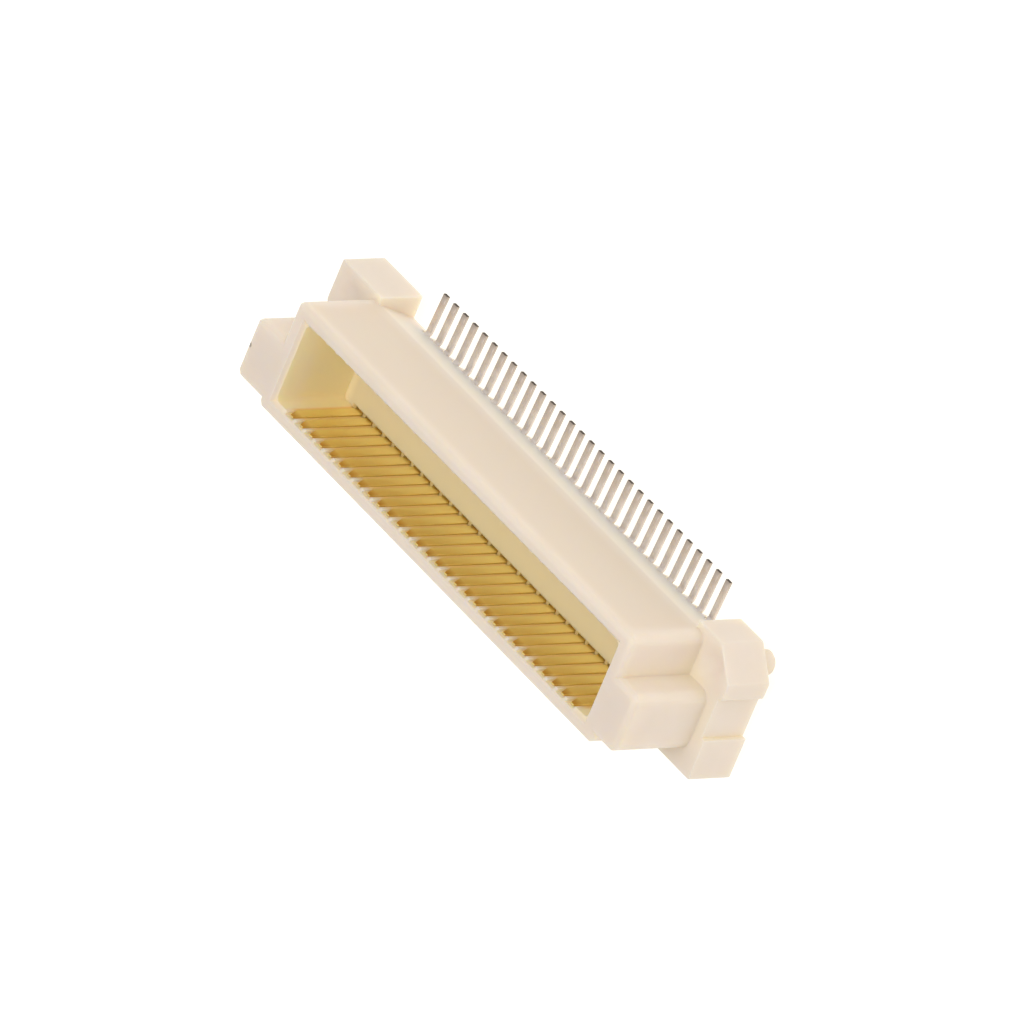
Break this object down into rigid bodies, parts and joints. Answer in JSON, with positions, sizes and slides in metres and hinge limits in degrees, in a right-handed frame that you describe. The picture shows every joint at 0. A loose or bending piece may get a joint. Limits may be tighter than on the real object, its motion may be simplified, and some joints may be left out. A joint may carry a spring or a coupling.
{
  "type": "board to board connector",
  "caption": "Ivory shrouded plug header that joins circuit boards: facing rows of gold blade contacts in a deep cavity, flat solder tails, end keys, mounting ears and locating pegs.",
  "frame": {"origin": "middle of the connector on the circuit board's surface", "axes": "+X along the contact rows towards the ear with the cut corner, +Y across the rows towards the side of the locating pegs, +Z away from the board, the way the mating half comes off"},
  "size_m": [0.0326, 0.0086, 0.0077],
  "materials": {
    "housing": "satin moulded",
    "contact": "gold plated blade, tin plated tail"
  },
  "bodies": {
    "root": {"housing": "housing", "contact_pair_01": "contact", "contact_pair_02": "contact", "contact_pair_03": "contact", "contact_pair_04": "contact", "contact_pair_05": "contact", "contact_pair_06": "contact", "contact_pair_07": "contact", "contact_pair_08": "contact", "contact_pair_09": "contact", "contact_pair_10": "contact", "contact_pair_11": "contact", "contact_pair_12": "contact", "contact_pair_13": "contact", "contact_pair_14": "contact", "contact_pair_15": "contact", "contact_pair_16": "contact", "contact_pair_17": "contact", "contact_pair_18": "contact", "contact_pair_19": "contact", "contact_pair_20": "contact", "contact_pair_21": "contact", "contact_pair_22": "contact", "contact_pair_23": "contact", "contact_pair_24": "contact", "contact_pair_25": "contact", "contact_pair_26": "contact", "contact_pair_27": "contact", "contact_pair_28": "contact", "contact_pair_29": "contact", "contact_pair_30": "contact"}
  },
  "joints": []
}
